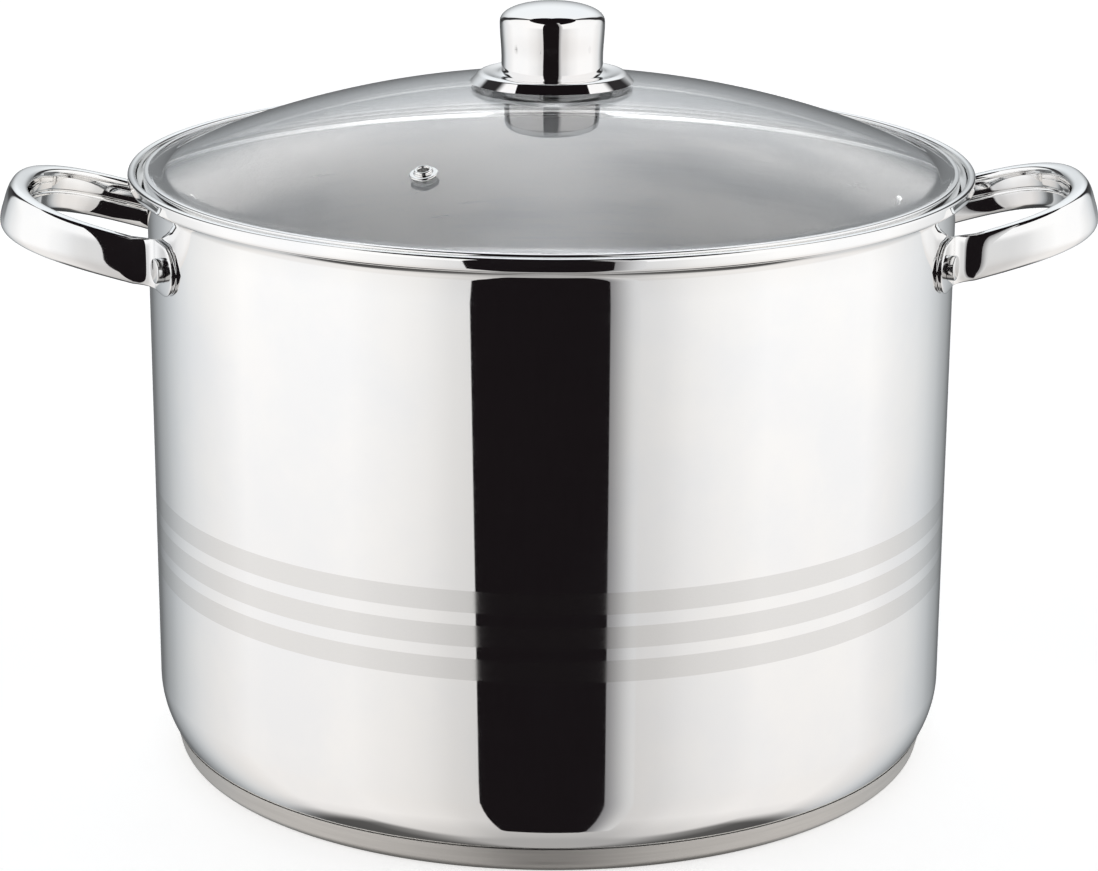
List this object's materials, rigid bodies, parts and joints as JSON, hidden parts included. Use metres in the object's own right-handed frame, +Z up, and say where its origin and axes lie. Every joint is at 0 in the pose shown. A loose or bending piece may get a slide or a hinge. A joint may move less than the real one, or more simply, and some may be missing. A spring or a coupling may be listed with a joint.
{
  "type": "water bath canner",
  "caption": "Deep straight-walled steel pot with a bonded base, riveted loop handles, a domed glass lid with a knob and a steam vent, and a wire jar rack inside.",
  "frame": {"origin": "centre of the underside of the base, where the pot stands", "axes": "+Z up along the pot's axis, +X through the middle of the right handle, +Y away from a cook who stands at the front"},
  "size_m": [0.4384, 0.3362, 0.3042],
  "materials": {
    "pot_steel": "mirror polished outside with three satin bands, satin inside",
    "base_steel": "satin, turned",
    "spreader_aluminium": "as cast",
    "handle_steel": "mirror polished",
    "rivet_steel": "polished",
    "lid_glass": "clear tempered glass",
    "band_steel": "polished",
    "knob_steel": "mirror polished",
    "fastener_steel": "plain machined",
    "silicone": "translucent, satin",
    "rack_steel": "bright wire, electropolished"
  },
  "bodies": {
    "pot": {"pot_body": "pot_steel", "base_core": "spreader_aluminium", "base_cap": "base_steel", "handle_left": "handle_steel", "handle_right": "handle_steel", "rivets_left": "rivet_steel", "rivets_right": "rivet_steel"},
    "lid": {"lid_glass": "lid_glass", "lid_band": "band_steel", "vent_eyelet": "fastener_steel", "vent_seal": "silicone", "knob_cap": "knob_steel", "knob_skirt": "knob_steel", "knob_boss": "fastener_steel", "knob_pad": "silicone", "lid_cup": "knob_steel", "cup_spacer": "silicone", "lock_washer": "fastener_steel", "knob_screw": "fastener_steel"},
    "rack": {"rack_ring": "rack_steel", "rack_bars": "rack_steel", "rack_runners": "rack_steel", "rack_feet": "rack_steel", "rack_eyes": "rack_steel"},
    "rack_handle_left": {"rack_handle_left": "rack_steel"},
    "rack_handle_right": {"rack_handle_right": "rack_steel"}
  },
  "joints": [
    {"name": "lid_lift", "type": "slide", "parent": "pot", "child": "lid", "axis": [0, 0, 1], "range_m": [0, 0.15]},
    {"name": "rack_lift", "type": "slide", "parent": "pot", "child": "rack", "axis": [0, 0, 1], "range_m": [0, 0.15]},
    {"name": "rack_handle_left_fold", "type": "hinge", "parent": "rack", "child": "rack_handle_left", "pos_m": [-0.132, 0, 0.0309], "axis": [0, -1, 0], "range_deg": [0, 100]},
    {"name": "rack_handle_right_fold", "type": "hinge", "parent": "rack", "child": "rack_handle_right", "pos_m": [0.132, 0, 0.0309], "axis": [0, 1, 0], "range_deg": [0, 100]}
  ]
}
